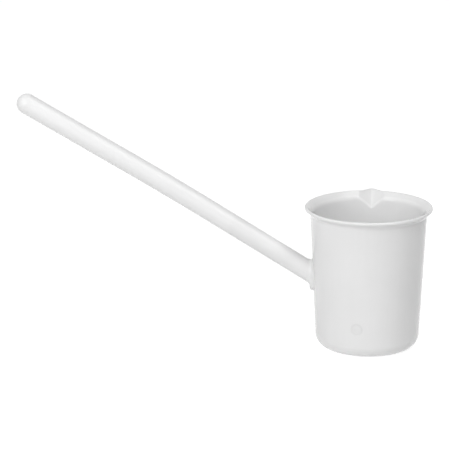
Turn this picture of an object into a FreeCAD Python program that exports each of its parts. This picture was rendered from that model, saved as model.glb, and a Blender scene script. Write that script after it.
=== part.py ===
import FreeCAD, Part
import math
import os
from FreeCAD import Vector

# A one-litre water dipper in white polyethylene: a spouted beaker with a long hollow handle that leans up
# from a round pad on its wall. Lengths are millimetres and angles are degrees. The origin is the centre of
# the cup's resting face, Z is up, the handle leans towards -X and the spout pours towards +Y.

# Cup body
cup_height = 140.0
cup_base_radius = 50.0       # outside of the wall, carried down to the resting face
cup_wall_lean = 2.9          # how far the wall opens upwards
cup_wall = 3.0
cup_floor = 5.0
cup_corner_radius = 12.5     # outside, between the wall and the resting face
cup_inner_corner_radius = 9.5  # inside, between the wall and the floor

# Flared rim
rim_bend_radius = 5.0        # outer face of the bend that turns the wall outwards
rim_flare_lean = 50.0        # from upright
rim_flare_length = 4.2       # straight part between the bend and the round lip

# Pouring spout, a V pressed outwards through the rim
spout_depth = 18.5           # from the rim down to where the groove runs out
spout_reach = 10.8           # from the rim's edge to the point of the V
spout_half_width = 13.4      # where the V leaves the rim
spout_nose_radius = 3.2      # rounding of the V outside, at the rim
spout_throat_radius = 1.8    # the same inside
spout_wall = 3.8             # measured level, along the spout
spout_lip_radius = 1.2
spout_dip = 0.3              # from the rim's top down to the spout's lip
spout_bevel = 0.9            # along the inner edge of the spout's lip

# Round pad on the cup's wall
pad_height = 70.5            # middle of the pad above the resting face
pad_radius = 17.0
pad_thickness = 3.9
pad_edge_radius = 2.6

# Handle tube, which starts at the middle of the pad
handle_lean = 31.1           # next to the cup, above level
handle_sag = 1.5             # how much less the outer half leans
handle_radius = 10.0
handle_wall = 1.4
handle_inner_run = 163.0     # from the cup's wall to the middle of the bend
handle_outer_run = 161.3     # from there to the tube's open end
handle_bend_run = 36.0       # half of the bent stretch

# Pieces inside the tube
sleeve_wall = 1.5
sleeve_length = 95.0         # from the cup's wall along the handle
plug_length = 16.0
plug_wall = 1.6
plug_bevel = 0.7

# Weld beads
pad_bead_radius = 2.0        # hollow face, around the pad on the cup
tube_bead_radius = 1.1       # round face, around the tube on the pad

# Fits
fit_gap = 0.1                # around what is pushed into the tube, on the radius
seat_gap = 0.1               # under what is welded on a curved face

# Cutting solids
overrun = 5.0                # past what they cut
spout_start_share = 0.04     # the spout's solids start this share of its depth above its point
spout_inward_share = 1.6     # its sides run on inwards, to this share of their length outside the rim

# Values that follow from the sizes above
wall_lean = math.radians(cup_wall_lean)
flare_lean = math.radians(rim_flare_lean)
inner_run_lean = math.radians(handle_lean)
outer_run_lean = math.radians(handle_lean - handle_sag)
tube_bore_radius = handle_radius - handle_wall
shank_radius = tube_bore_radius - fit_gap


def section_point(radius, height):
    """Point of a half section through the cup."""
    return Vector(radius, 0, height)


def cup_radius_at(height):
    """Outside radius of the cup's straight wall."""
    return cup_base_radius + height * math.tan(wall_lean)


def arc(start, middle, end):
    """Edge along the circle through three points."""
    return Part.Arc(start, middle, end).toShape()


def edge_middle(edge):
    """Point halfway along an edge."""
    return edge.valueAt((edge.FirstParameter + edge.LastParameter) / 2)


def revolved(edges):
    """Solid that a closed half section sweeps about Z."""
    return Part.Face(Part.Wire(edges)).revolve(Vector(0, 0, 0), Vector(0, 0, 1), 360)


def cylinder(start, direction, radius, length):
    """Round bar from a start point along a direction."""
    return Part.makeCylinder(radius, length, start, direction)


def rim_bend_centre():
    """Centre of the bend between the wall and the flare, outside the cup."""
    rise = (rim_bend_radius * (math.sin(flare_lean) - math.sin(wall_lean))
            + rim_flare_length * math.cos(flare_lean)
            + cup_wall / 2 * math.sin(flare_lean) + cup_wall / 2)
    neck_height = cup_height - rise
    return section_point(cup_radius_at(neck_height) + rim_bend_radius * math.cos(wall_lean),
                         neck_height - rim_bend_radius * math.sin(wall_lean))


def rim_bend_point(depth, lean):
    """Point of the bend, so deep under the outer face, where the wall leans by an angle."""
    arm = Vector(-math.cos(lean), 0, math.sin(lean))
    return rim_bend_centre() + arm * (rim_bend_radius + depth)


def rim_flare_end(depth):
    """End of the straight flare, so deep under the outer face."""
    along = Vector(math.sin(flare_lean), 0, math.cos(flare_lean))
    return rim_bend_point(depth, flare_lean) + along * rim_flare_length


def rim_lip_tip():
    """Middle of the round lip that ends the flare."""
    along = Vector(math.sin(flare_lean), 0, math.cos(flare_lean))
    return rim_flare_end(cup_wall / 2) + along * (cup_wall / 2)


def rim_edge_radius():
    """Largest radius of the rim."""
    return rim_flare_end(cup_wall / 2).x + cup_wall / 2


def corner_points(wall_foot_radius, floor_height, radius):
    """Start, middle and end of the arc between a level floor and the leaning wall."""
    centre_height = floor_height + radius
    wall_radius = wall_foot_radius + centre_height * math.tan(wall_lean)
    centre = section_point(wall_radius - radius / math.cos(wall_lean), centre_height)
    halfway = (math.radians(90) + wall_lean) / 2
    return (centre + section_point(0, -radius),
            centre + section_point(math.cos(halfway), -math.sin(halfway)) * radius,
            centre + section_point(math.cos(wall_lean), -math.sin(wall_lean)) * radius)


def wall_edges(depth, wall_foot_radius, floor_height, corner_radius):
    """Edges of one face of the cup, from the axis at its floor up to the end of the flare."""
    foot, corner_middle, corner_end = corner_points(wall_foot_radius, floor_height, corner_radius)
    neck = rim_bend_point(depth, wall_lean)
    bend_middle = rim_bend_point(depth, (wall_lean + flare_lean) / 2)
    bend_end = rim_bend_point(depth, flare_lean)
    return [Part.makeLine(section_point(0, floor_height), foot),
            arc(foot, corner_middle, corner_end),
            Part.makeLine(corner_end, neck),
            arc(neck, bend_middle, bend_end),
            Part.makeLine(bend_end, rim_flare_end(depth))]


def cup_outside():
    """The cup's outer form with its round lip, filled."""
    lip_end = rim_flare_end(cup_wall)
    top_centre = section_point(0, lip_end.z)
    edges = wall_edges(0, cup_base_radius, 0, cup_corner_radius)
    edges.append(arc(rim_flare_end(0), rim_lip_tip(), lip_end))
    edges.append(Part.makeLine(lip_end, top_centre))
    edges.append(Part.makeLine(top_centre, section_point(0, 0)))
    return revolved(edges)


def cup_hollow():
    """What the cup holds, carried up past the rim."""
    lip_end = rim_flare_end(cup_wall)
    above_lip = lip_end + section_point(0, overrun)
    above_centre = section_point(0, above_lip.z)
    inner_foot_radius = cup_base_radius - cup_wall / math.cos(wall_lean)
    edges = wall_edges(cup_wall, inner_foot_radius, cup_floor, cup_inner_corner_radius)
    edges.append(Part.makeLine(lip_end, above_lip))
    edges.append(Part.makeLine(above_lip, above_centre))
    edges.append(Part.makeLine(above_centre, section_point(0, cup_floor)))
    return revolved(edges)


def spout_lip_height():
    """Height of the spout's lip above the resting face."""
    return cup_height - spout_dip


def spout_section(share, inset, nose_radius):
    """Level outline of the V, at a share of the way from the spout's point to its lip.

    The outline is moved inwards by an inset.
    """
    point_height = cup_height - spout_depth
    point = Vector(0, cup_radius_at(point_height) - cup_wall / 2, point_height)
    nose = Vector(0, rim_edge_radius() + spout_reach, spout_lip_height()) - point
    rim_leave = math.sqrt(rim_edge_radius() ** 2 - spout_half_width ** 2)
    side = Vector(spout_half_width, rim_leave - rim_edge_radius() - spout_reach, 0)
    slant = math.atan2(-side.y, side.x)
    centre = nose - Vector(0, nose_radius / math.cos(slant), 0)
    touch = centre + Vector(math.sin(slant), math.cos(slant), 0) * nose_radius
    tip = centre + Vector(0, nose_radius, 0)
    back = nose + side * spout_inward_share

    def placed(local, mirror=1):
        grown = local * share
        return point + Vector(grown.x * mirror, grown.y - inset, grown.z)

    return Part.Wire([
        Part.makeLine(placed(back, -1), placed(touch, -1)),
        arc(placed(touch, -1), placed(tip), placed(touch)),
        Part.makeLine(placed(touch), placed(back)),
        Part.makeLine(placed(back), placed(back, -1)),
    ])


def horn(start_share, end_share, start_inset, end_inset, nose_radius):
    """Solid between two outlines of the V."""
    return Part.makeLoft([spout_section(start_share, start_inset, nose_radius),
                          spout_section(end_share, end_inset, nose_radius)], True, True)


def spout_outside():
    """The spout's outer form, with its lip rounded."""
    solid = horn(spout_start_share, 1, 0, 0, spout_nose_radius)
    top = max(solid.Faces, key=lambda face: face.CenterOfMass.z)
    back = min(top.Edges, key=lambda edge: edge_middle(edge).y)
    lip = [edge for edge in top.Edges if not edge.isSame(back)]
    return solid.makeFillet(spout_lip_radius, lip)


def spout_hollow():
    """The groove that the spout pours through, with a bevel at its lip."""
    bevel_share = spout_bevel / spout_depth
    groove = horn(spout_start_share, 1 + overrun / spout_depth, spout_wall, spout_wall, spout_throat_radius)
    bevel = horn(1 - bevel_share, 1 + bevel_share, spout_wall, spout_wall - 2 * spout_bevel,
                 spout_throat_radius)
    return groove.fuse(bevel)


def cup():
    """Beaker with a flared rim and a spout."""
    filled = cup_outside().fuse(spout_outside())
    return filled.cut(cup_hollow()).cut(spout_hollow())


def pad_normal():
    """Direction out of the cup's wall at the pad."""
    return Vector(-math.cos(wall_lean), 0, -math.sin(wall_lean))


def pad_centre():
    """Middle of the pad, on the cup's wall."""
    return Vector(-cup_radius_at(pad_height), 0, pad_height)


def wall_blank(gap):
    """The cup's straight outer wall, filled and grown by a gap."""
    grown = gap / math.cos(wall_lean)
    top = pad_height + 2 * pad_radius
    return Part.makeCone(cup_radius_at(0) + grown, cup_radius_at(top) + grown, top)


def pad_blank(radius, thickness):
    """Disc square to the cup's wall, from deep inside the cup out to a thickness above the wall."""
    return cylinder(pad_centre() - pad_normal() * pad_radius, pad_normal(), radius, pad_radius + thickness)


def handle_direction(lean):
    """Direction of a handle that leans by an angle above level."""
    return Vector(-math.cos(lean), 0, math.sin(lean))


def handle_rod(radius, before, length):
    """Straight rod along the handle's inner run, from before the cup's wall to a length past it."""
    direction = handle_direction(inner_run_lean)
    return cylinder(pad_centre() - direction * before, direction, radius, before + length)


def handle_vertex():
    """Point where the handle's two straight runs would meet."""
    return pad_centre() + handle_direction(inner_run_lean) * handle_inner_run


def handle_end():
    """Middle of the tube's open end."""
    return handle_vertex() + handle_direction(outer_run_lean) * handle_outer_run


def handle_sweep(radius, before, past_end):
    """Bar along the whole bent handle, from before the cup's wall to a length past the tube's end."""
    inner = handle_direction(inner_run_lean)
    outer = handle_direction(outer_run_lean)
    start = pad_centre() - inner * before
    bend_start = handle_vertex() - inner * handle_bend_run
    bend_end = handle_vertex() + outer * handle_bend_run
    bend_radius = handle_bend_run / math.tan((inner_run_lean - outer_run_lean) / 2)
    bend_centre = bend_start + Vector(-inner.z, 0, inner.x) * bend_radius
    bend_middle = bend_centre + (handle_vertex() - bend_centre).normalize() * bend_radius
    path = Part.Wire([Part.makeLine(start, bend_start),
                      arc(bend_start, bend_middle, bend_end),
                      Part.makeLine(bend_end, handle_end() + outer * past_end)])
    ring = Part.Wire([Part.makeCircle(radius, start, inner)])
    return path.makePipeShell([ring], True, False)


def wall_pad():
    """Round pad that carries the handle, hollowed behind to lie on the cup's wall."""
    disc = pad_blank(pad_radius, pad_thickness)
    face_middle = pad_centre() + pad_normal() * pad_thickness
    outer_edge = [edge for edge in disc.Edges
                  if edge.Closed and (edge.CenterOfMass - face_middle).Length < pad_thickness]
    disc = disc.makeFillet(pad_edge_radius, outer_edge)
    bore = handle_rod(tube_bore_radius, pad_radius, 2 * pad_radius)
    return disc.cut(wall_blank(seat_gap)).cut(bore)


def root_sleeve():
    """Stub of pipe that stands in the pad and stiffens the handle's root from inside."""
    outside = handle_rod(shank_radius, pad_radius / 2, sleeve_length)
    inside = handle_rod(shank_radius - sleeve_wall, pad_radius, sleeve_length + overrun)
    return outside.cut(inside).cut(wall_blank(seat_gap))


def handle_tube():
    """The hollow handle, cut off flat on the pad."""
    outside = handle_sweep(handle_radius, pad_radius / 2, 0)
    bore = handle_sweep(tube_bore_radius, pad_radius, overrun)
    return outside.cut(bore).cut(pad_blank(2 * pad_radius, pad_thickness))


def end_plug():
    """Round-ended hollow plug that closes the handle's free end."""
    outward = handle_direction(outer_run_lean)
    end = handle_end()
    shank = cylinder(end - outward * plug_length, outward, shank_radius, plug_length)
    mouth = [edge for edge in shank.Edges
             if edge.Closed and (edge.CenterOfMass - end).Length > plug_length / 2]
    shank = shank.makeChamfer(plug_bevel, mouth)
    ball = Part.makeSphere(handle_radius, end)
    dome = ball.common(cylinder(end, outward, 2 * handle_radius, 2 * handle_radius))
    hollow_radius = shank_radius - plug_wall
    hollow = cylinder(end - outward * (plug_length + overrun), outward, hollow_radius, plug_length + overrun)
    return shank.fuse(dome).cut(hollow.fuse(Part.makeSphere(hollow_radius, end))).removeSplitter()


def pad_weld_bead():
    """Hollow-faced weld bead in the corner between the pad's side and the cup's wall."""
    corner = pad_blank(pad_radius, pad_thickness).fuse(wall_blank(0))
    seam = [edge for edge in corner.Edges if edge.Closed and not isinstance(edge.Curve, Part.Circle)]
    welded = corner.makeFillet(pad_bead_radius, seam)
    return welded.cut(pad_blank(pad_radius + seat_gap, pad_thickness).fuse(wall_blank(seat_gap)))


def tube_seam():
    """Ellipse along which the tube meets the pad's face."""
    along = handle_direction(inner_run_lean)
    slant = along.dot(pad_normal())
    middle = pad_centre() + along * (pad_thickness / slant)
    uphill = (along - pad_normal() * slant).normalize()
    level = Vector(0, 1, 0)
    return Part.Ellipse(middle + uphill * (handle_radius / slant), middle + level * handle_radius,
                        middle).toShape()


def tube_weld_bead():
    """Round weld bead in the corner between the tube and the pad's face."""
    seam = tube_seam()
    start = seam.valueAt(seam.FirstParameter)
    section = Part.Wire([Part.makeCircle(tube_bead_radius, start, seam.tangentAt(seam.FirstParameter))])
    rod = Part.Wire([seam]).makePipeShell([section], True, False)
    return rod.cut(handle_sweep(handle_radius, pad_radius / 2, 0).fuse(wall_pad()))


def write(name, shape):
    """One sub-part to its own file."""
    shape.exportStep(os.path.join("parts", name + ".step"))


os.makedirs("parts", exist_ok=True)
for make in (cup, wall_pad, root_sleeve, handle_tube, end_plug, pad_weld_bead, tube_weld_bead):
    write(make.__name__, make())
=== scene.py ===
"""Looks of a one-litre water dipper in white polyethylene, with its studio and camera.

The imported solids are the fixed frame. The cup is modelled again here, because its flared rim runs into the
spout in one soft sweep, and so are the pad and the weld beads, which flow from the wall into the handle.
The other solids keep their shape and get their finishes. Lengths are metres.
"""

import logging
import math
from dataclasses import dataclass
from enum import Enum
from typing import Any, Mapping, Optional, Union

import bmesh
import bpy
from mathutils import Matrix, Vector


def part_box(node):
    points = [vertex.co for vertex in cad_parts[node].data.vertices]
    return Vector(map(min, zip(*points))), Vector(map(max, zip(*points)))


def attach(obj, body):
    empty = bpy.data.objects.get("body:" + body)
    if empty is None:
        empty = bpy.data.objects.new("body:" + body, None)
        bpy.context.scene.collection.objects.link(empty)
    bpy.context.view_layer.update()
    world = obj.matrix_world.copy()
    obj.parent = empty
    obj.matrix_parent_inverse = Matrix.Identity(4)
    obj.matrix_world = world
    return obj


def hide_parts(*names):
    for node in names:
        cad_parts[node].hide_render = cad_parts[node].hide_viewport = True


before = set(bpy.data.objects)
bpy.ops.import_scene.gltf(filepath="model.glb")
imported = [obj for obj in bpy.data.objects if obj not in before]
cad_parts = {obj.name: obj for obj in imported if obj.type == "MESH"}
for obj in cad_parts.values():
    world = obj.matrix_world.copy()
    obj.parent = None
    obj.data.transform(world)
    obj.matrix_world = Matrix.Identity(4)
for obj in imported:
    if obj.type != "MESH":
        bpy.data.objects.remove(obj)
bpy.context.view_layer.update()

log = logging.getLogger("water_dipper")

MILLIMETRE = 0.001
MERGE_GAP = 0.001 * MILLIMETRE
PAD_HEIGHT = 70.5 * MILLIMETRE
HANDLE_LEAN = math.radians(31.1)


class Node(Enum):
    """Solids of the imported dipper."""

    CUP = "cup"
    WALL_PAD = "wall_pad"
    ROOT_SLEEVE = "root_sleeve"
    HANDLE_TUBE = "handle_tube"
    END_PLUG = "end_plug"
    PAD_WELD_BEAD = "pad_weld_bead"
    TUBE_WELD_BEAD = "tube_weld_bead"


class Slot(Enum):
    """Material slots of the record for the new pieces, kept with the root's rings but not read."""

    CUP = "cup_plastic"
    FITTING = "fitting_plastic"
    WELD = "weld_plastic"


class Maths(Enum):
    """Operations that shader sums are made of."""

    ADD = "ADD"
    SUBTRACT = "SUBTRACT"
    MULTIPLY = "MULTIPLY"
    SMALLER = "MINIMUM"


class Signal:
    """Output socket of a shader node that takes part in Python sums."""

    def __init__(self, recipe: "Recipe", socket: bpy.types.NodeSocket) -> None:
        """Wraps a socket.

        Args:
            recipe: Recipe whose tree holds the socket.
            socket: Output socket that carries the value.
        """
        self.recipe = recipe
        self.socket = socket

    def __add__(self, other: "Term") -> "Signal":
        """Sum of this signal and another term."""
        return self.recipe.sum_of(Maths.ADD, self, other)

    def __radd__(self, other: "Term") -> "Signal":
        """Sum of another term and this signal."""
        return self.recipe.sum_of(Maths.ADD, other, self)

    def __sub__(self, other: "Term") -> "Signal":
        """This signal less another term."""
        return self.recipe.sum_of(Maths.SUBTRACT, self, other)

    def __rsub__(self, other: "Term") -> "Signal":
        """Another term less this signal."""
        return self.recipe.sum_of(Maths.SUBTRACT, other, self)

    def __mul__(self, other: "Term") -> "Signal":
        """Product of this signal and another term."""
        return self.recipe.sum_of(Maths.MULTIPLY, self, other)

    def __rmul__(self, other: "Term") -> "Signal":
        """Product of another term and this signal."""
        return self.recipe.sum_of(Maths.MULTIPLY, other, self)

    def at_most(self, other: "Term") -> "Signal":
        """The smaller of this signal and another term."""
        return self.recipe.sum_of(Maths.SMALLER, self, other)

    def rise(self, start: float, end: float) -> "Signal":
        """Soft step of this signal.

        Args:
            start: Value at which the step leaves zero.
            end: Value at which the step reaches one.

        Returns:
            A signal from zero to one.
        """
        step = self.recipe.node("ShaderNodeMapRange", {"interpolation_type": "SMOOTHSTEP"},
                                {"Value": self, "From Min": start, "From Max": end})
        return self.recipe.out(step)


Term = Union[Signal, float]


class Recipe:
    """Node tree of one material or of the world, filled by code."""

    def __init__(self, tree: bpy.types.NodeTree) -> None:
        """Takes over a tree and empties it."""
        self.tree = tree
        self.tree.nodes.clear()

    @classmethod
    def of_material(cls, name: str) -> tuple["Recipe", bpy.types.Material]:
        """Recipe of a new material.

        Args:
            name: Name of the material.

        Returns:
            The recipe and its material.
        """
        material = bpy.data.materials.new(name)
        material.use_nodes = True
        return cls(material.node_tree), material

    def node(self, kind: str, settings: Optional[Mapping[str, Any]] = None,
             inputs: Optional[Mapping[Union[str, int], Any]] = None) -> bpy.types.Node:
        """Adds a node, sets it up and feeds its sockets.

        Args:
            kind: Type of the node.
            settings: Its properties, set first.
            inputs: Values or signals of its sockets, by the socket's name or place.

        Returns:
            The new node.
        """
        made = self.tree.nodes.new(kind)
        for name, value in (settings or {}).items():
            setattr(made, name, value)
        for key, value in (inputs or {}).items():
            socket = made.inputs[key] if isinstance(key, int) else self._shown(made.inputs, key)
            if isinstance(value, Signal):
                self.tree.links.new(value.socket, socket)
            else:
                socket.default_value = value
        return made

    @staticmethod
    def _shown(sockets: Any, name: str) -> bpy.types.NodeSocket:
        """The socket of that name which is in use."""
        return next(socket for socket in sockets if socket.name == name and socket.enabled)

    def out(self, node: bpy.types.Node, name: Optional[str] = None) -> Signal:
        """Output of a node, its first one unless a name is given."""
        return Signal(self, self._shown(node.outputs, name) if name else node.outputs[0])

    def sum_of(self, operation: Maths, first: Term, second: Term) -> Signal:
        """Result of a Math node on two terms."""
        return self.out(self.node("ShaderNodeMath", {"operation": operation.value}, {0: first, 1: second}))

    def noise(self, place: Signal, grain: float, detail: float) -> Signal:
        """Noise from about minus one half to one half.

        Args:
            place: Vector signal that the noise is laid over.
            grain: Size of its patches in the units of that vector.
            detail: Number of finer layers.

        Returns:
            The noise as a signal.
        """
        made = self.node("ShaderNodeTexNoise", {}, {"Vector": place, "Scale": 1 / grain, "Detail": detail})
        return self.out(made) - 0.5

    def turned(self, place: Signal, turn: Vector, stretch: Vector) -> Signal:
        """A vector signal that is turned, then stretched along its own axes."""
        return self.out(self.node("ShaderNodeMapping", {"vector_type": "POINT"},
                                  {"Vector": place, "Rotation": turn, "Scale": stretch}))

    def along(self, place: Signal, start: Vector, direction: Vector) -> Signal:
        """Distance of a place from a start point along a direction."""
        dot = self.node("ShaderNodeVectorMath", {"operation": "DOT_PRODUCT"}, {0: place, 1: direction})
        return self.out(dot, "Value") - start.dot(direction)

    def away(self, place: Signal, middle: Vector) -> Signal:
        """Distance of a place from a point."""
        gap = self.node("ShaderNodeVectorMath", {"operation": "DISTANCE"}, {0: place, 1: middle})
        return self.out(gap, "Value")

    def blended(self, factor: Term, first: tuple[float, ...], second: tuple[float, ...]) -> Signal:
        """Colour between two colours."""
        mixed = self.node("ShaderNodeMix", {"data_type": "RGBA"},
                          {"Factor": factor, "A": first, "B": second})
        return self.out(mixed, "Result")

    def finish_with(self, surface: bpy.types.Node, kind: str = "ShaderNodeOutputMaterial") -> None:
        """Joins a shader to the tree's output."""
        self.node(kind, {}, {"Surface": self.out(surface)})


@dataclass(frozen=True)
class HandleLine:
    """Axis of the handle's straight inner run, for finishes that follow it."""

    start: Vector
    lean: float

    def direction(self) -> Vector:
        """Unit vector up along the handle."""
        return Vector((-math.cos(self.lean), 0, math.sin(self.lean)))


@dataclass(frozen=True, kw_only=True)
class Polyethylene:
    """Translucent white polyethylene with a soft gloss, as it leaves the mould."""

    name: str
    grey: float = 0.95
    shade: float = 0.90
    middle_tone: float = 0.5
    roughness: float = 0.33
    roughness_play: float = 0.06
    translucency: float = 0.10
    light_path: float = 3.0 * MILLIMETRE
    gloss: float = 0.5
    refraction: float = 1.51
    cloud_size: float = 45 * MILLIMETRE
    cloud_tone: float = 0.35
    flow_width: float = 4 * MILLIMETRE
    flow_length: float = 160 * MILLIMETRE
    flow_tone: float = 0.14
    flow_turn: float = 0.0
    peel_size: float = 1.4 * MILLIMETRE
    peel_height: float = 0.006 * MILLIMETRE
    wave_size: float = 22 * MILLIMETRE
    wave_height: float = 0.05 * MILLIMETRE
    scuff_width: float = 0.5 * MILLIMETRE
    scuff_length: float = 9 * MILLIMETRE
    scuff_turn: tuple[float, float, float] = (0.5, 0.4, 0.9)
    scuff_start: float = 0.14
    scuff_end: float = 0.26
    scuff_roughness: float = 0.16

    def tone(self, recipe: Recipe, place: Signal) -> Term:
        """How pale the plastic is beyond its clouds and flow lines."""
        return self.middle_tone

    def dress(self) -> bpy.types.Material:
        """Builds the material.

        Returns:
            The finished material.
        """
        recipe, material = Recipe.of_material(self.name)
        place = recipe.out(recipe.node("ShaderNodeTexCoord"), "Object")
        flow_turn = Vector((0, self.flow_turn, 0))
        flow_place = recipe.turned(place, flow_turn, Vector((1, 1, self.flow_width / self.flow_length)))
        scuff_place = recipe.turned(place, flow_turn + Vector(self.scuff_turn),
                                    Vector((1, 1, self.scuff_width / self.scuff_length)))
        cloud = recipe.noise(place, self.cloud_size, detail=2.0)
        flow = recipe.noise(flow_place, self.flow_width, detail=1.0)
        scratches = recipe.noise(scuff_place, self.scuff_width, detail=1.0)
        scuff = scratches.rise(self.scuff_start, self.scuff_end)
        tone = self.tone(recipe, place) + cloud * self.cloud_tone + flow * self.flow_tone
        pale = (self.grey, self.grey, self.grey, 1)
        dim_grey = self.grey * self.shade
        dim = (dim_grey, dim_grey, dim_grey, 1)
        roughness = cloud * self.roughness_play + scuff * self.scuff_roughness + self.roughness
        waves = recipe.noise(place, self.wave_size, detail=1.0) * self.wave_height
        peel = recipe.noise(place, self.peel_size, detail=1.0) * self.peel_height
        relief = recipe.node("ShaderNodeBump", {},
                             {"Strength": 1.0, "Distance": 1.0, "Height": waves + peel})
        recipe.finish_with(recipe.node("ShaderNodeBsdfPrincipled", {}, {
            "Base Color": recipe.blended(tone, dim, pale),
            "Roughness": roughness,
            "IOR": self.refraction,
            "Specular IOR Level": self.gloss,
            "Subsurface Weight": self.translucency,
            "Subsurface Radius": (1.0, 1.0, 1.0),
            "Subsurface Scale": self.light_path,
            "Normal": recipe.out(relief),
        }))
        return material


@dataclass(frozen=True)
class WitnessMark:
    """Shallow round mark that the mould leaves low on the cup's front; dirt and painted shade darken its
    edge.
    """

    turn: float = math.radians(-8.6)
    height: float = 30.3 * MILLIMETRE
    radius: float = 5.9 * MILLIMETRE
    edge: float = 1.6 * MILLIMETRE
    sink: float = 0.3 * MILLIMETRE
    # Darkening of the mark's edge ring: dirt and painted shade.
    dirt_and_shade: float = 0.26
    haze: float = 0.20


@dataclass(frozen=True)
class WallLine:
    """Line of the cup's straight outer wall, for finishes that change at the wall."""

    base_radius: float
    lean: float

    def beyond(self, recipe: Recipe, place: Signal) -> Signal:
        """How far a place lies outside the wall's outer face.

        Args:
            recipe: Recipe of the finish.
            place: Place on the surface.

        Returns:
            The distance, less than zero within the wall.
        """
        middle = Vector((0, 0, 0))
        reach = recipe.away(recipe.turned(place, middle, Vector((1, 1, 0))), middle)
        height = recipe.along(place, middle, Vector((0, 0, 1)))
        return reach - height * math.tan(self.lean) - self.base_radius


@dataclass(frozen=True, kw_only=True)
class RootPolyethylene(Polyethylene):
    """The same plastic at the handle's root, as dim as the cup where it meets the wall."""

    wall_line: WallLine
    foot_tone: float = 0.35
    top_tone: float = 0.95
    rise_length: float = 4 * MILLIMETRE

    def tone(self, recipe: Recipe, place: Signal) -> Signal:
        """Paler away from the wall."""
        lift = self.wall_line.beyond(recipe, place).rise(0.0, self.rise_length)
        return lift * (self.top_tone - self.foot_tone) + self.foot_tone


@dataclass(frozen=True, kw_only=True)
class CupPolyethylene(Polyethylene):
    """The same plastic on the cup, with dirt and painted shade in the mould's mark and painted light inside.
    """

    mark: WitnessMark
    mark_middle: Vector
    wall_line: WallLine
    wall: float
    shade: float = 0.88
    roughness: float = 0.08
    translucency: float = 0.5
    gloss: float = 0.3
    # Painted light: how much paler the inner face is, standing in for light that reaches the inside.
    inside_painted_light: float = 0.5
    inside_from: float = 0.3
    inside_full: float = 0.7

    def tone(self, recipe: Recipe, place: Signal) -> Signal:
        """Tone of the outer face, less in the mark for dirt and painted shade, and more inside as painted
        light.

        Args:
            recipe: Recipe of the finish.
            place: Place on the surface.

        Returns:
            The tone as a signal.
        """
        away = recipe.away(place, self.mark_middle)
        middle = self.mark.radius - self.mark.edge / 2
        disc = 1 - away.rise(middle, middle + self.mark.edge)
        # Edge ring of the mark, darkened by dirt and painted shade.
        ring = away.rise(middle - self.mark.edge, middle) * disc
        # Painted light: the inner face is paler, standing in for light that reaches the inside of the cup.
        beyond = self.wall_line.beyond(recipe, place)
        inside = 1 - beyond.rise(-self.inside_full * self.wall, -self.inside_from * self.wall)
        return self.middle_tone - ring * self.mark.dirt_and_shade - disc * self.mark.haze + inside * self.inside_painted_light


@dataclass(frozen=True, kw_only=True)
class HandlePolyethylene(Polyethylene):
    """The same plastic on the handle, with painted shade where the sleeve stands inside it and painted light
    at the root.
    """

    line: HandleLine
    sleeve_end: float = 95 * MILLIMETRE
    sleeve_edge: float = 3 * MILLIMETRE
    # Painted shade over the sleeve: how much paler the tube is past the sleeve's end.
    sleeve_painted_shade: float = 0.4
    far_tone: float = 0.95
    root_start: float = 6.4 * MILLIMETRE
    root_length: float = 32 * MILLIMETRE
    # Painted light on the handle near the pad.
    root_painted_light: float = 0.8

    def tone(self, recipe: Recipe, place: Signal) -> Signal:
        """Paler past the sleeve's end, where the painted shade over the sleeve stops, and paler near the pad
        as painted light.

        Args:
            recipe: Recipe of the finish.
            place: Place on the surface.

        Returns:
            The tone as a signal.
        """
        run = recipe.along(place, self.line.start, self.line.direction())
        # Painted shade: dimmer over the sleeve inside the tube, paler past its end.
        past = run.rise(self.sleeve_end - self.sleeve_edge, self.sleeve_end + self.sleeve_edge)
        # Painted light: the handle is paler where it grows from the pad.
        root = 1 - run.rise(self.root_start, self.root_length)
        return past * self.sleeve_painted_shade + root * self.root_painted_light + (self.far_tone - self.sleeve_painted_shade)


class SectionPen:
    """Draws the half section of a turned shape in the XZ plane with runs and bends."""

    def __init__(self, mesh: bmesh.types.BMesh, depth_layer: Any) -> None:
        """Starts on the axis at the resting face, heading outwards.

        Args:
            mesh: Mesh that takes the section.
            depth_layer: Vertex layer for the share of the wall's depth, 0 outside and 1 inside.
        """
        self.mesh = mesh
        self.depth_layer = depth_layer
        self.depth = 0.0
        self.heading = 0.0
        self.tip = mesh.verts.new((0, 0, 0))

    def _forward(self) -> Vector:
        """Unit vector along the heading."""
        return Vector((math.cos(self.heading), 0, math.sin(self.heading)))

    def run(self, length: float, steps: int = 1) -> None:
        """Straight line.

        Args:
            length: Its length.
            steps: Number of edges.
        """
        for _ in range(steps):
            grown = bmesh.ops.extrude_vert_indiv(self.mesh, verts=[self.tip])
            self.tip = grown["verts"][0]
            self.tip[self.depth_layer] = self.depth
            bmesh.ops.translate(self.mesh, verts=[self.tip], vec=self._forward() * (length / steps))

    def run_to_height(self, height: float, steps: int = 1) -> None:
        """Straight line up or down to a height."""
        self.run((height - self.tip.co.z) / math.sin(self.heading), steps)

    def run_to_radius(self, radius: float, steps: int = 1) -> None:
        """Straight line outwards or inwards to a radius."""
        self.run((radius - self.tip.co.x) / math.cos(self.heading), steps)

    def bend(self, radius: float, turn: float, steps: int, end_depth: Optional[float] = None) -> None:
        """Arc that carries on smoothly from the last stroke.

        Args:
            radius: Radius of the arc.
            turn: Angle that the heading turns by, anticlockwise.
            steps: Number of edges.
            end_depth: Wall depth at its end, if it changes on the way.
        """
        start_depth = self.depth
        side = self.heading + math.copysign(math.pi / 2, turn)
        centre = self.tip.co + Vector((math.cos(side), 0, math.sin(side))) * radius
        turner = Matrix.Rotation(-turn / steps, 3, "Y")
        for step in range(steps):
            if end_depth is not None:
                self.depth = start_depth + (end_depth - start_depth) * (step + 1) / steps
            grown = bmesh.ops.extrude_vert_indiv(self.mesh, verts=[self.tip])
            self.tip = grown["verts"][0]
            self.tip[self.depth_layer] = self.depth
            bmesh.ops.rotate(self.mesh, verts=[self.tip], cent=centre, matrix=turner)
        self.heading += turn


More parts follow.
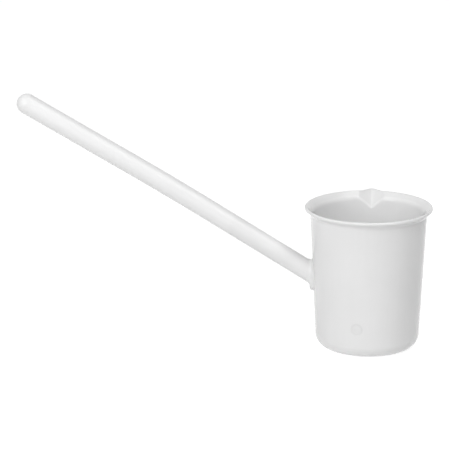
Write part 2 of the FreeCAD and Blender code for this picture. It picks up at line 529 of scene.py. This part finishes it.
@dataclass(frozen=True)
class Spout:
    """V pressed outwards through the rim, at the cup's far side."""

    depth: float = 18.5 * MILLIMETRE
    half_width: float = 13.4 * MILLIMETRE
    point_reach: float = 10.8 * MILLIMETRE
    nose_radius: float = 3.2 * MILLIMETRE
    throat_radius: float = 1.2 * MILLIMETRE
    wall: float = 3.8 * MILLIMETRE
    shoulder: float = 1.3 * MILLIMETRE
    dip: float = 0.3 * MILLIMETRE
    spread: float = 30 * MILLIMETRE


@dataclass(frozen=True)
class Cup:
    """The beaker, turned from one half section and then pressed into a spout."""

    height: float
    rim_radius: float
    wall: float = 3.0 * MILLIMETRE
    floor: float = 5.0 * MILLIMETRE
    lean: float = math.radians(2.9)
    base_radius: float = 50.0 * MILLIMETRE
    corner_radius: float = 12.5 * MILLIMETRE
    inner_corner_radius: float = 9.5 * MILLIMETRE
    bend_radius: float = 5.0 * MILLIMETRE
    flare_lean: float = math.radians(50.0)
    flare_length: float = 4.2 * MILLIMETRE
    sides: int = 360
    crowding: float = 0.6
    spout: Spout = Spout()
    mark: WitnessMark = WitnessMark()

    @classmethod
    def in_frame(cls) -> "Cup":
        """Cup with the height and rim radius of its solid in the frame."""
        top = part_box(Node.CUP.value)[1]
        return cls(height=top.z, rim_radius=top.x)

    def radius_at(self, height: float) -> float:
        """Outside radius of the straight wall."""
        return self.base_radius + height * math.tan(self.lean)

    def mark_middle(self) -> Vector:
        """Middle of the mould's mark.

        Returns:
            The point on the cup's outer face.
        """
        mark = self.mark
        radius = self.radius_at(mark.height)
        return Vector((math.sin(mark.turn) * radius, -math.cos(mark.turn) * radius, mark.height))

    def neck_height(self) -> float:
        """Height at which the wall starts to turn outwards.

        Returns:
            The height that leaves room for the bend, the flare and the lip above it.
        """
        bend = self.bend_radius * (math.sin(self.flare_lean) - math.sin(self.lean))
        flare = self.flare_length * math.cos(self.flare_lean)
        lip = self.wall / 2 * (math.sin(self.flare_lean) + 1)
        return self.height - bend - flare - lip

    def draw_section(self, pen: SectionPen) -> None:
        """Draws the outside up to the lip, the lip, and the inside down to the floor.

        Args:
            pen: Pen that stands on the axis at the resting face.
        """
        corner_turn = math.pi / 2 - self.lean
        flare_turn = self.flare_lean - self.lean
        spout_foot = self.height - self.spout.depth - self.spout.shoulder
        inner_foot = self.floor + self.inner_corner_radius * (1 - math.sin(self.lean))
        base_edge = self.radius_at(self.corner_radius) - self.corner_radius / math.cos(self.lean)
        pen.run_to_radius(base_edge, steps=8)
        pen.bend(self.corner_radius, corner_turn, steps=12)
        pen.run_to_height(self.mark.height + 2 * self.mark.radius, steps=26)
        pen.run_to_height(spout_foot, steps=18)
        pen.run_to_height(self.neck_height(), steps=14)
        pen.bend(self.bend_radius, -flare_turn, steps=7)
        pen.run(self.flare_length, steps=3)
        pen.bend(self.wall / 2, math.pi, steps=12, end_depth=1.0)
        pen.run(self.flare_length, steps=3)
        pen.bend(self.bend_radius + self.wall, flare_turn, steps=8)
        pen.run_to_height(spout_foot, steps=14)
        pen.run_to_height(inner_foot, steps=24)
        pen.bend(self.inner_corner_radius, -corner_turn, steps=10)
        pen.run_to_radius(0, steps=6)

    def nose_line(self, across: float, radius: float) -> float:
        """How far the rounded V falls back from its point.

        Args:
            across: Distance sideways from its middle.
            radius: Radius of its point.

        Returns:
            The distance back towards the cup's axis.
        """
        slope = self.spout_slope()
        slant = math.atan(slope)
        edge = radius * math.sin(slant)
        if across < edge:
            return radius - math.sqrt(radius ** 2 - across ** 2)
        return radius * (1 - math.cos(slant)) + slope * (across - edge)

    def spout_slope(self) -> float:
        """Run of the V's sides towards its point, for each unit across."""
        leave = math.sqrt(self.rim_radius ** 2 - self.spout.half_width ** 2)
        return (self.rim_radius + self.spout.point_reach - leave) / self.spout.half_width

    def crowd_columns(self, mesh: bmesh.types.BMesh) -> None:
        """Turns the mesh's columns closer together at the spout and at the front.

        Args:
            mesh: The turned cup.
        """
        for vert in mesh.verts:
            turn = math.atan2(vert.co.x, vert.co.y)
            closer = turn - self.crowding / 2 * math.sin(2 * turn)
            reach = vert.co.xy.length
            vert.co.xy = (reach * math.sin(closer), reach * math.cos(closer))

    def press_spout(self, mesh: bmesh.types.BMesh, depth_layer: Any) -> None:
        """Moves the far side of the wall out to the V, with soft shoulders.

        Args:
            mesh: The turned cup.
            depth_layer: Vertex layer with the share of the wall's depth.
        """
        spout = self.spout
        point_height = self.height - spout.depth
        lip_height = self.height - spout.dip
        point_y = self.radius_at(point_height) - self.wall / 2
        slant = math.atan(self.spout_slope())
        sharp_y = self.rim_radius + spout.point_reach
        for vert in mesh.verts:
            share = (vert.co.z - point_height) / (lip_height - point_height)
            if vert.co.y <= 0 or share < -1 or abs(vert.co.x) > spout.spread:
                continue
            depth = vert[depth_layer]
            radius = spout.nose_radius + (spout.throat_radius - spout.nose_radius) * depth
            nose_y = sharp_y - radius * (1 / math.cos(slant) - 1)
            line = point_y + (nose_y - point_y) * share - spout.wall * depth
            line -= self.nose_line(abs(vert.co.x), radius)
            lead = max(0.0, min(1.0, 0.5 + (line - vert.co.y) / (2 * spout.shoulder)))
            vert.co.y += (line - vert.co.y) * lead + spout.shoulder * lead * (1 - lead)
            vert.co.z -= spout.dip * lead * max(0.0, share)

    def press_mark(self, mesh: bmesh.types.BMesh, depth_layer: Any) -> None:
        """Sinks the round mark into the outer face.

        Args:
            mesh: The turned cup.
            depth_layer: Vertex layer with the share of the wall's depth.
        """
        mark = self.mark
        middle = self.mark_middle()
        for vert in mesh.verts:
            away = (vert.co - middle).length
            if vert[depth_layer] > 0 or away > mark.radius:
                continue
            outward = vert.co.xy.to_3d().normalized()
            vert.co -= outward * (mark.sink * soft_step(mark.radius - away, 0, mark.edge))

    def build(self, finish: Polyethylene) -> bpy.types.Object:
        """Models the cup and puts it in the place of its solid.

        Args:
            finish: Finish of the cup.

        Returns:
            The new piece.
        """
        mesh = bmesh.new()
        depth_layer = mesh.verts.layers.float.new("depth")
        pen = SectionPen(mesh, depth_layer)
        self.draw_section(pen)
        bmesh.ops.spin(mesh, geom=[*mesh.verts, *mesh.edges], cent=(0, 0, 0), axis=(0, 0, 1),
                       angle=2 * math.pi, steps=self.sides, use_merge=True, use_duplicate=False)
        bmesh.ops.remove_doubles(mesh, verts=mesh.verts, dist=MERGE_GAP)
        bmesh.ops.recalc_face_normals(mesh, faces=mesh.faces)
        self.crowd_columns(mesh)
        self.press_spout(mesh, depth_layer)
        self.press_mark(mesh, depth_layer)
        piece = piece_from(mesh, "cup_shell", finish.dress())
        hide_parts(Node.CUP.value)
        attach(piece, "root")
        return piece


def piece_from(mesh: bmesh.types.BMesh, name: str, material: bpy.types.Material) -> bpy.types.Object:
    """Turns a bmesh into an object at the origin, shaded smooth.

    Args:
        mesh: The finished mesh, which is freed.
        name: Name of the object.
        material: Its only material.

    Returns:
        The object, linked to the scene.
    """
    for face in mesh.faces:
        face.smooth = True
    data = bpy.data.meshes.new(name)
    mesh.to_mesh(data)
    mesh.free()
    data.materials.append(material)
    piece = bpy.data.objects.new(name, data)
    bpy.context.scene.collection.objects.link(piece)
    return piece


def bow(start: Vector, corner: Vector, end: Vector, share: float) -> Vector:
    """Point on the curve that rounds a corner between two points.

    Args:
        start: Where the curve leaves the first side.
        corner: Where the two sides would meet.
        end: Where the curve joins the second side.
        share: Place on the curve, from zero to one.

    Returns:
        The point.
    """
    return start * (1 - share) ** 2 + corner * (2 * share * (1 - share)) + end * share ** 2


def soft_step(value: float, start: float, end: float) -> float:
    """Smooth rise from zero at start to one at end."""
    share = max(0.0, min(1.0, (value - start) / (end - start)))
    return share * share * (3 - 2 * share)


# Shares of the root's section at which the pad, its flat face and the handle's bead start.
PAD_SHARE = 0.25
FACE_SHARE = 0.50
BEAD_SHARE = 0.70


@dataclass(frozen=True)
class RootBand:
    """One of the rings that the root's skin is made of, from share to share of its section."""

    name: str
    node: Node
    slot: Slot
    start: float
    end: float
    rows: int


@dataclass(frozen=True)
class RootWeld:
    """Pad and weld beads, which flow from the cup's wall into the handle.

    A section is drawn for each turn around the pad. Above and beside the handle it is one hollow sweep, and
    below the handle it is the pad's rounded lip. A place in a section is its reach from the pad's middle
    along the wall and its height over the wall.
    """

    cup: Cup
    line: HandleLine
    finish: Polyethylene
    handle_radius: float = 10.0 * MILLIMETRE
    pad_radius: float = 16.4 * MILLIMETRE
    pad_thickness: float = 3.9 * MILLIMETRE
    edge_round: float = 3.4 * MILLIMETRE
    foot_round: float = 1.2 * MILLIMETRE
    sweep_foot: float = 5.2 * MILLIMETRE
    sweep_top: float = 6.6 * MILLIMETRE
    lip_from: float = 0.05
    lip_full: float = 0.80
    cover: float = 0.03 * MILLIMETRE
    tuck: float = 0.09 * MILLIMETRE
    top_edge: float = 0.36 * MILLIMETRE
    skin: float = 0.8 * MILLIMETRE
    turns: int = 120
    halvings: int = 30
    bands: tuple[RootBand, ...] = (
        RootBand("pad_bead_skin", Node.PAD_WELD_BEAD, Slot.WELD, start=0.0, end=PAD_SHARE, rows=6),
        RootBand("pad_skin", Node.WALL_PAD, Slot.FITTING, start=PAD_SHARE, end=BEAD_SHARE, rows=12),
        RootBand("tube_bead_skin", Node.TUBE_WELD_BEAD, Slot.WELD, start=BEAD_SHARE, end=1.0, rows=8),
    )

    def place(self, turn: float, spot: Vector) -> Vector:
        """Point in space of a section's place.

        Args:
            turn: Turn around the pad, from straight up towards the far side.
            spot: Reach along the wall and height over it.

        Returns:
            The point.
        """
        up = self.line.start.z + spot.x * math.cos(turn)
        side = spot.x * math.sin(turn)
        return Vector((-math.sqrt(self.cup.radius_at(up) ** 2 - side ** 2) - spot.y, side, up))

    def handle_reach(self, turn: float, height: float) -> float:
        """Reach at which a section meets the handle's surface.

        Args:
            turn: Turn around the pad.
            height: Height over the wall.

        Returns:
            The reach from the pad's middle, found by halving.
        """
        low, high = 0.0, 3 * self.handle_radius
        for _ in range(self.halvings):
            middle = (low + high) / 2
            from_start = self.place(turn, Vector((middle, height))) - self.line.start
            away = from_start - self.line.direction() * from_start.dot(self.line.direction())
            low, high = (middle, high) if away.length < self.handle_radius + self.cover else (low, middle)
        return low

    def sweep_spot(self, turn: float, share: float) -> Vector:
        """Place on the hollow sweep from the wall to the handle.

        Args:
            turn: Turn around the pad.
            share: Share of the section, zero at the wall and one on the handle.

        Returns:
            Reach along the wall and height over it.
        """
        corner = Vector((self.handle_reach(turn, 0), 0))
        foot = corner + Vector((self.sweep_foot, 0))
        top = Vector((self.handle_reach(turn, self.sweep_top), self.sweep_top))
        return bow(foot, corner, top, share)

    def lip_spot(self, turn: float, share: float) -> Vector:
        """Place on the pad's lip: foot, rounded edge, flat face and bead.

        Args:
            turn: Turn around the pad.
            share: Share of the section, zero at the wall and one on the handle.

        Returns:
            Reach along the wall and height over it.
        """
        side, face = self.pad_radius, self.pad_thickness
        edge_foot = Vector((side, face - self.edge_round))
        edge_top = Vector((side - self.edge_round, face))
        if share < PAD_SHARE:
            return bow(Vector((side + self.foot_round, 0)), Vector((side, 0)), edge_foot, share / PAD_SHARE)
        if share < FACE_SHARE:
            return bow(edge_foot, Vector((side, face)), edge_top,
                       (share - PAD_SHARE) / (FACE_SHARE - PAD_SHARE))
        corner = Vector((self.handle_reach(turn, face), face))
        face_end = corner + Vector((self.sweep_top - face, 0))
        if share < BEAD_SHARE:
            return edge_top.lerp(face_end, (share - FACE_SHARE) / (BEAD_SHARE - FACE_SHARE))
        top = Vector((self.handle_reach(turn, self.sweep_top), self.sweep_top))
        return bow(face_end, corner, top, (share - BEAD_SHARE) / (1 - BEAD_SHARE))

    def section_spot(self, turn: float, share: float) -> Vector:
        """Place on the section of a turn: the lip below, the sweep elsewhere."""
        lip = soft_step(-math.cos(turn), self.lip_from, self.lip_full)
        return self.sweep_spot(turn, share).lerp(self.lip_spot(turn, share), lip)

    def band_piece(self, band: RootBand, material: bpy.types.Material) -> bpy.types.Object:
        """Builds one closed ring.

        Args:
            band: The ring.
            material: Its material.

        Returns:
            The new piece.
        """
        shares = [band.start + (band.end - band.start) * row / band.rows for row in range(band.rows + 1)]
        inward = Vector((-self.skin, -self.skin))
        rows = [(share, Vector((0, 0))) for share in shares]
        if band.end == 1.0:
            rows.append((1.0, Vector((-self.tuck, self.top_edge))))
        if band.start == 0.0:
            rows.insert(0, (0.0, Vector((self.foot_round, -self.tuck))))
        last_outer = len(rows) - 1
        rows += [(share, inward) for share in reversed(shares)] + [rows[0]]
        mesh = bmesh.new()
        turn_layer = mesh.verts.layers.float.new("turn")
        circle = bmesh.ops.create_circle(mesh, cap_ends=False, radius=self.pad_radius, segments=self.turns)
        ring = circle["verts"]
        for number, vert in enumerate(ring):
            vert[turn_layer] = 2 * math.pi * number / self.turns
        edges = list(mesh.edges)
        for number, (share, shift) in enumerate(rows):
            if number:
                grown = bmesh.ops.extrude_edge_only(mesh, edges=edges)["geom"]
                ring = [item for item in grown if isinstance(item, bmesh.types.BMVert)]
                edges = [item for item in grown if isinstance(item, bmesh.types.BMEdge)]
            for vert in ring:
                vert.co = self.place(vert[turn_layer], self.section_spot(vert[turn_layer], share) + shift)
            if number in (0, last_outer):
                for edge in edges:
                    edge.smooth = False
        bmesh.ops.remove_doubles(mesh, verts=mesh.verts, dist=MERGE_GAP)
        bmesh.ops.recalc_face_normals(mesh, faces=mesh.faces)
        piece = piece_from(mesh, band.name, material)
        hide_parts(band.node.value)
        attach(piece, "root")
        return piece

    def build(self) -> list[bpy.types.Object]:
        """Builds the rings.

        Returns:
            The new pieces.
        """
        material = self.finish.dress()
        return [self.band_piece(band, material) for band in self.bands]


@dataclass(frozen=True)
class Handle:
    """The handle's solids, which keep their shape and get their finishes."""

    tube_finish: Polyethylene
    fitting_finish: Polyethylene

    def build(self) -> list[bpy.types.Object]:
        """Dresses the solids.

        Returns:
            The dressed solids.
        """
        finishes = {
            Node.HANDLE_TUBE: self.tube_finish,
            Node.END_PLUG: self.tube_finish,
            Node.ROOT_SLEEVE: self.fitting_finish,
        }
        made = {finish.name: finish.dress() for finish in finishes.values()}
        for node, finish in finishes.items():
            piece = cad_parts[node.value]
            piece.data.materials.clear()
            piece.data.materials.append(made[finish.name])
        return [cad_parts[node.value] for node in finishes]


@dataclass(frozen=True)
class Lamp:
    """Soft box that looks at the cup."""

    name: str
    turn: float
    rise: float
    distance: float
    width: float
    height: float
    watts: float
    aim_height: float = 100 * MILLIMETRE

    def place(self) -> None:
        """Adds the lamp to the scene."""
        level = math.cos(self.rise)
        back = Vector((math.sin(self.turn) * level, -math.cos(self.turn) * level, math.sin(self.rise)))
        data = bpy.data.lights.new(self.name, "AREA")
        data.shape = "RECTANGLE"
        data.size = self.width
        data.size_y = self.height
        data.energy = self.watts
        lamp = bpy.data.objects.new(self.name, data)
        lamp.location = back * self.distance + Vector((0, 0, self.aim_height))
        lamp.rotation_mode = "QUATERNION"
        lamp.rotation_quaternion = back.to_track_quat("Z", "Y")
        bpy.context.scene.collection.objects.link(lamp)


@dataclass(frozen=True)
class Studio:
    """White floor and surroundings with soft lamps."""

    ambient: float = 0.235
    floor_size: float = 8.0
    floor_grey: float = 0.80
    shadow_grey: float = 0.45
    floor_glow: float = 0.85
    floor_drop: float = 0.2 * MILLIMETRE
    lamps: tuple[Lamp, ...] = (
        Lamp("key_box", turn=math.radians(-28), rise=math.radians(24), distance=2.3,
             width=1.8, height=1.8, watts=26.6),
        Lamp("top_box", turn=math.radians(66), rise=math.radians(72), distance=2.0,
             width=1.2, height=1.2, watts=9.5),
        Lamp("strip_box", turn=math.radians(38), rise=math.radians(50), distance=2.2,
             width=1.3, height=0.12, watts=6.5),
    )

    @staticmethod
    def seen_directly(recipe: Recipe) -> Signal:
        """Mask for rays from the camera, and for mirrored and refracted ones.

        Args:
            recipe: Recipe of the background or the floor.

        Returns:
            One for those rays and zero for the others.
        """
        path = recipe.node("ShaderNodeLightPath")
        seen = recipe.out(path, "Is Camera Ray") + recipe.out(path, "Is Glossy Ray")
        return (seen + recipe.out(path, "Is Transmission Ray")).at_most(1.0)

    def light_world(self) -> None:
        """Even light all round, white where it is seen."""
        world = bpy.data.worlds.new("studio_world")
        world.use_nodes = True
        bpy.context.scene.world = world
        recipe = Recipe(world.node_tree)
        white = (1, 1, 1, 1)
        glow = recipe.node("ShaderNodeBackground", {}, {"Color": white, "Strength": self.ambient})
        seen = recipe.node("ShaderNodeBackground", {}, {"Color": white, "Strength": 1.0})
        recipe.finish_with(recipe.node("ShaderNodeMixShader", {}, {
            0: self.seen_directly(recipe), 1: recipe.out(glow), 2: recipe.out(seen)}),
            "ShaderNodeOutputWorld")

    def lay_floor(self) -> None:
        """Pale floor that keeps the shadow and is clear from below."""
        recipe, material = Recipe.of_material("studio_floor")
        grey = (self.floor_grey, self.floor_grey, self.floor_grey, 1)
        shadow = (self.shadow_grey, self.shadow_grey, self.shadow_grey, 1)
        matt = recipe.node("ShaderNodeBsdfDiffuse", {}, {"Color": grey})
        shaded = recipe.node("ShaderNodeBsdfDiffuse", {}, {"Color": shadow})
        glow = recipe.node("ShaderNodeEmission", {}, {"Color": (1, 1, 1, 1), "Strength": self.floor_glow})
        white = recipe.node("ShaderNodeAddShader", {}, {0: recipe.out(shaded), 1: recipe.out(glow)})
        clear = recipe.node("ShaderNodeBsdfTransparent")
        pale = recipe.node("ShaderNodeMixShader", {}, {
            0: self.seen_directly(recipe), 1: recipe.out(matt), 2: recipe.out(white)})
        under = recipe.out(recipe.node("ShaderNodeNewGeometry"), "Backfacing")
        recipe.finish_with(recipe.node("ShaderNodeMixShader", {}, {
            0: under, 1: recipe.out(pale), 2: recipe.out(clear)}))
        mesh = bmesh.new()
        bmesh.ops.create_grid(mesh, x_segments=1, y_segments=1, size=self.floor_size / 2)
        bmesh.ops.translate(mesh, verts=mesh.verts, vec=(0, 0, -self.floor_drop))
        piece_from(mesh, "studio_floor", material)

    def build(self) -> None:
        """Sets up the surroundings, the floor and the lamps."""
        self.light_world()
        self.lay_floor()
        for lamp in self.lamps:
            lamp.place()


@dataclass(frozen=True)
class PhotoCamera:
    """Camera at the photograph's viewing angle, fitted to the cup's outline."""

    turn: float = math.radians(5.60)
    rise: float = math.radians(15.60)
    distance: float = 2.859
    frame_pixels: float = 450.0
    middle_pixel: float = 224.5
    focal_pixels: float = 2930.0
    aim_height: float = 72.0 * MILLIMETRE
    aim_right_pixels: float = 367.33
    aim_down_pixels: float = 273.03
    sensor: float = 36.0
    nearest: float = 0.05
    farthest: float = 50.0

    def build(self) -> None:
        """Adds the camera and makes it the scene's own."""
        level = math.cos(self.rise)
        forward = Vector((-math.sin(self.turn) * level, math.cos(self.turn) * level, -math.sin(self.rise)))
        right = Vector((math.cos(self.turn), math.sin(self.turn), 0))
        up = right.cross(forward)
        pixel = self.distance / self.focal_pixels
        data = bpy.data.cameras.new("photo_camera")
        data.sensor_width = self.sensor
        data.lens = self.focal_pixels / self.frame_pixels * self.sensor
        data.clip_start = self.nearest
        data.clip_end = self.farthest
        camera = bpy.data.objects.new("photo_camera", data)
        aim = Vector((0, 0, self.aim_height))
        camera.location = (aim - forward * self.distance
                           - right * (self.aim_right_pixels - self.middle_pixel) * pixel
                           + up * (self.aim_down_pixels - self.middle_pixel) * pixel)
        camera.rotation_mode = "QUATERNION"
        camera.rotation_quaternion = Matrix((right, up, -forward)).transposed().to_quaternion()
        bpy.context.scene.collection.objects.link(camera)
        bpy.context.scene.camera = camera


def main() -> None:
    """Builds the camera, the studio and the dipper."""
    logging.basicConfig(level=logging.INFO, format="%(name)s: %(message)s")
    bpy.context.scene.view_settings.view_transform = "Standard"
    PhotoCamera().build()
    Studio().build()
    cup = Cup.in_frame()
    line = HandleLine(Vector((-cup.radius_at(PAD_HEIGHT), 0, PAD_HEIGHT)), HANDLE_LEAN)
    wall_line = WallLine(cup.base_radius, cup.lean)
    tube_finish = HandlePolyethylene(name="handle_plastic", flow_turn=HANDLE_LEAN - math.pi / 2, line=line)
    fitting_finish = RootPolyethylene(name="fitting_plastic", wall_line=wall_line)
    cup_finish = CupPolyethylene(name="cup_plastic", mark=cup.mark, mark_middle=cup.mark_middle(),
                                 wall_line=wall_line, wall=cup.wall)
    log.info("built %s", cup.build(cup_finish).name)
    for piece in RootWeld(cup, line, fitting_finish).build():
        log.info("built %s", piece.name)
    for piece in Handle(tube_finish, fitting_finish).build():
        log.info("dressed %s", piece.name)


if __name__ == "__main__":
    main()
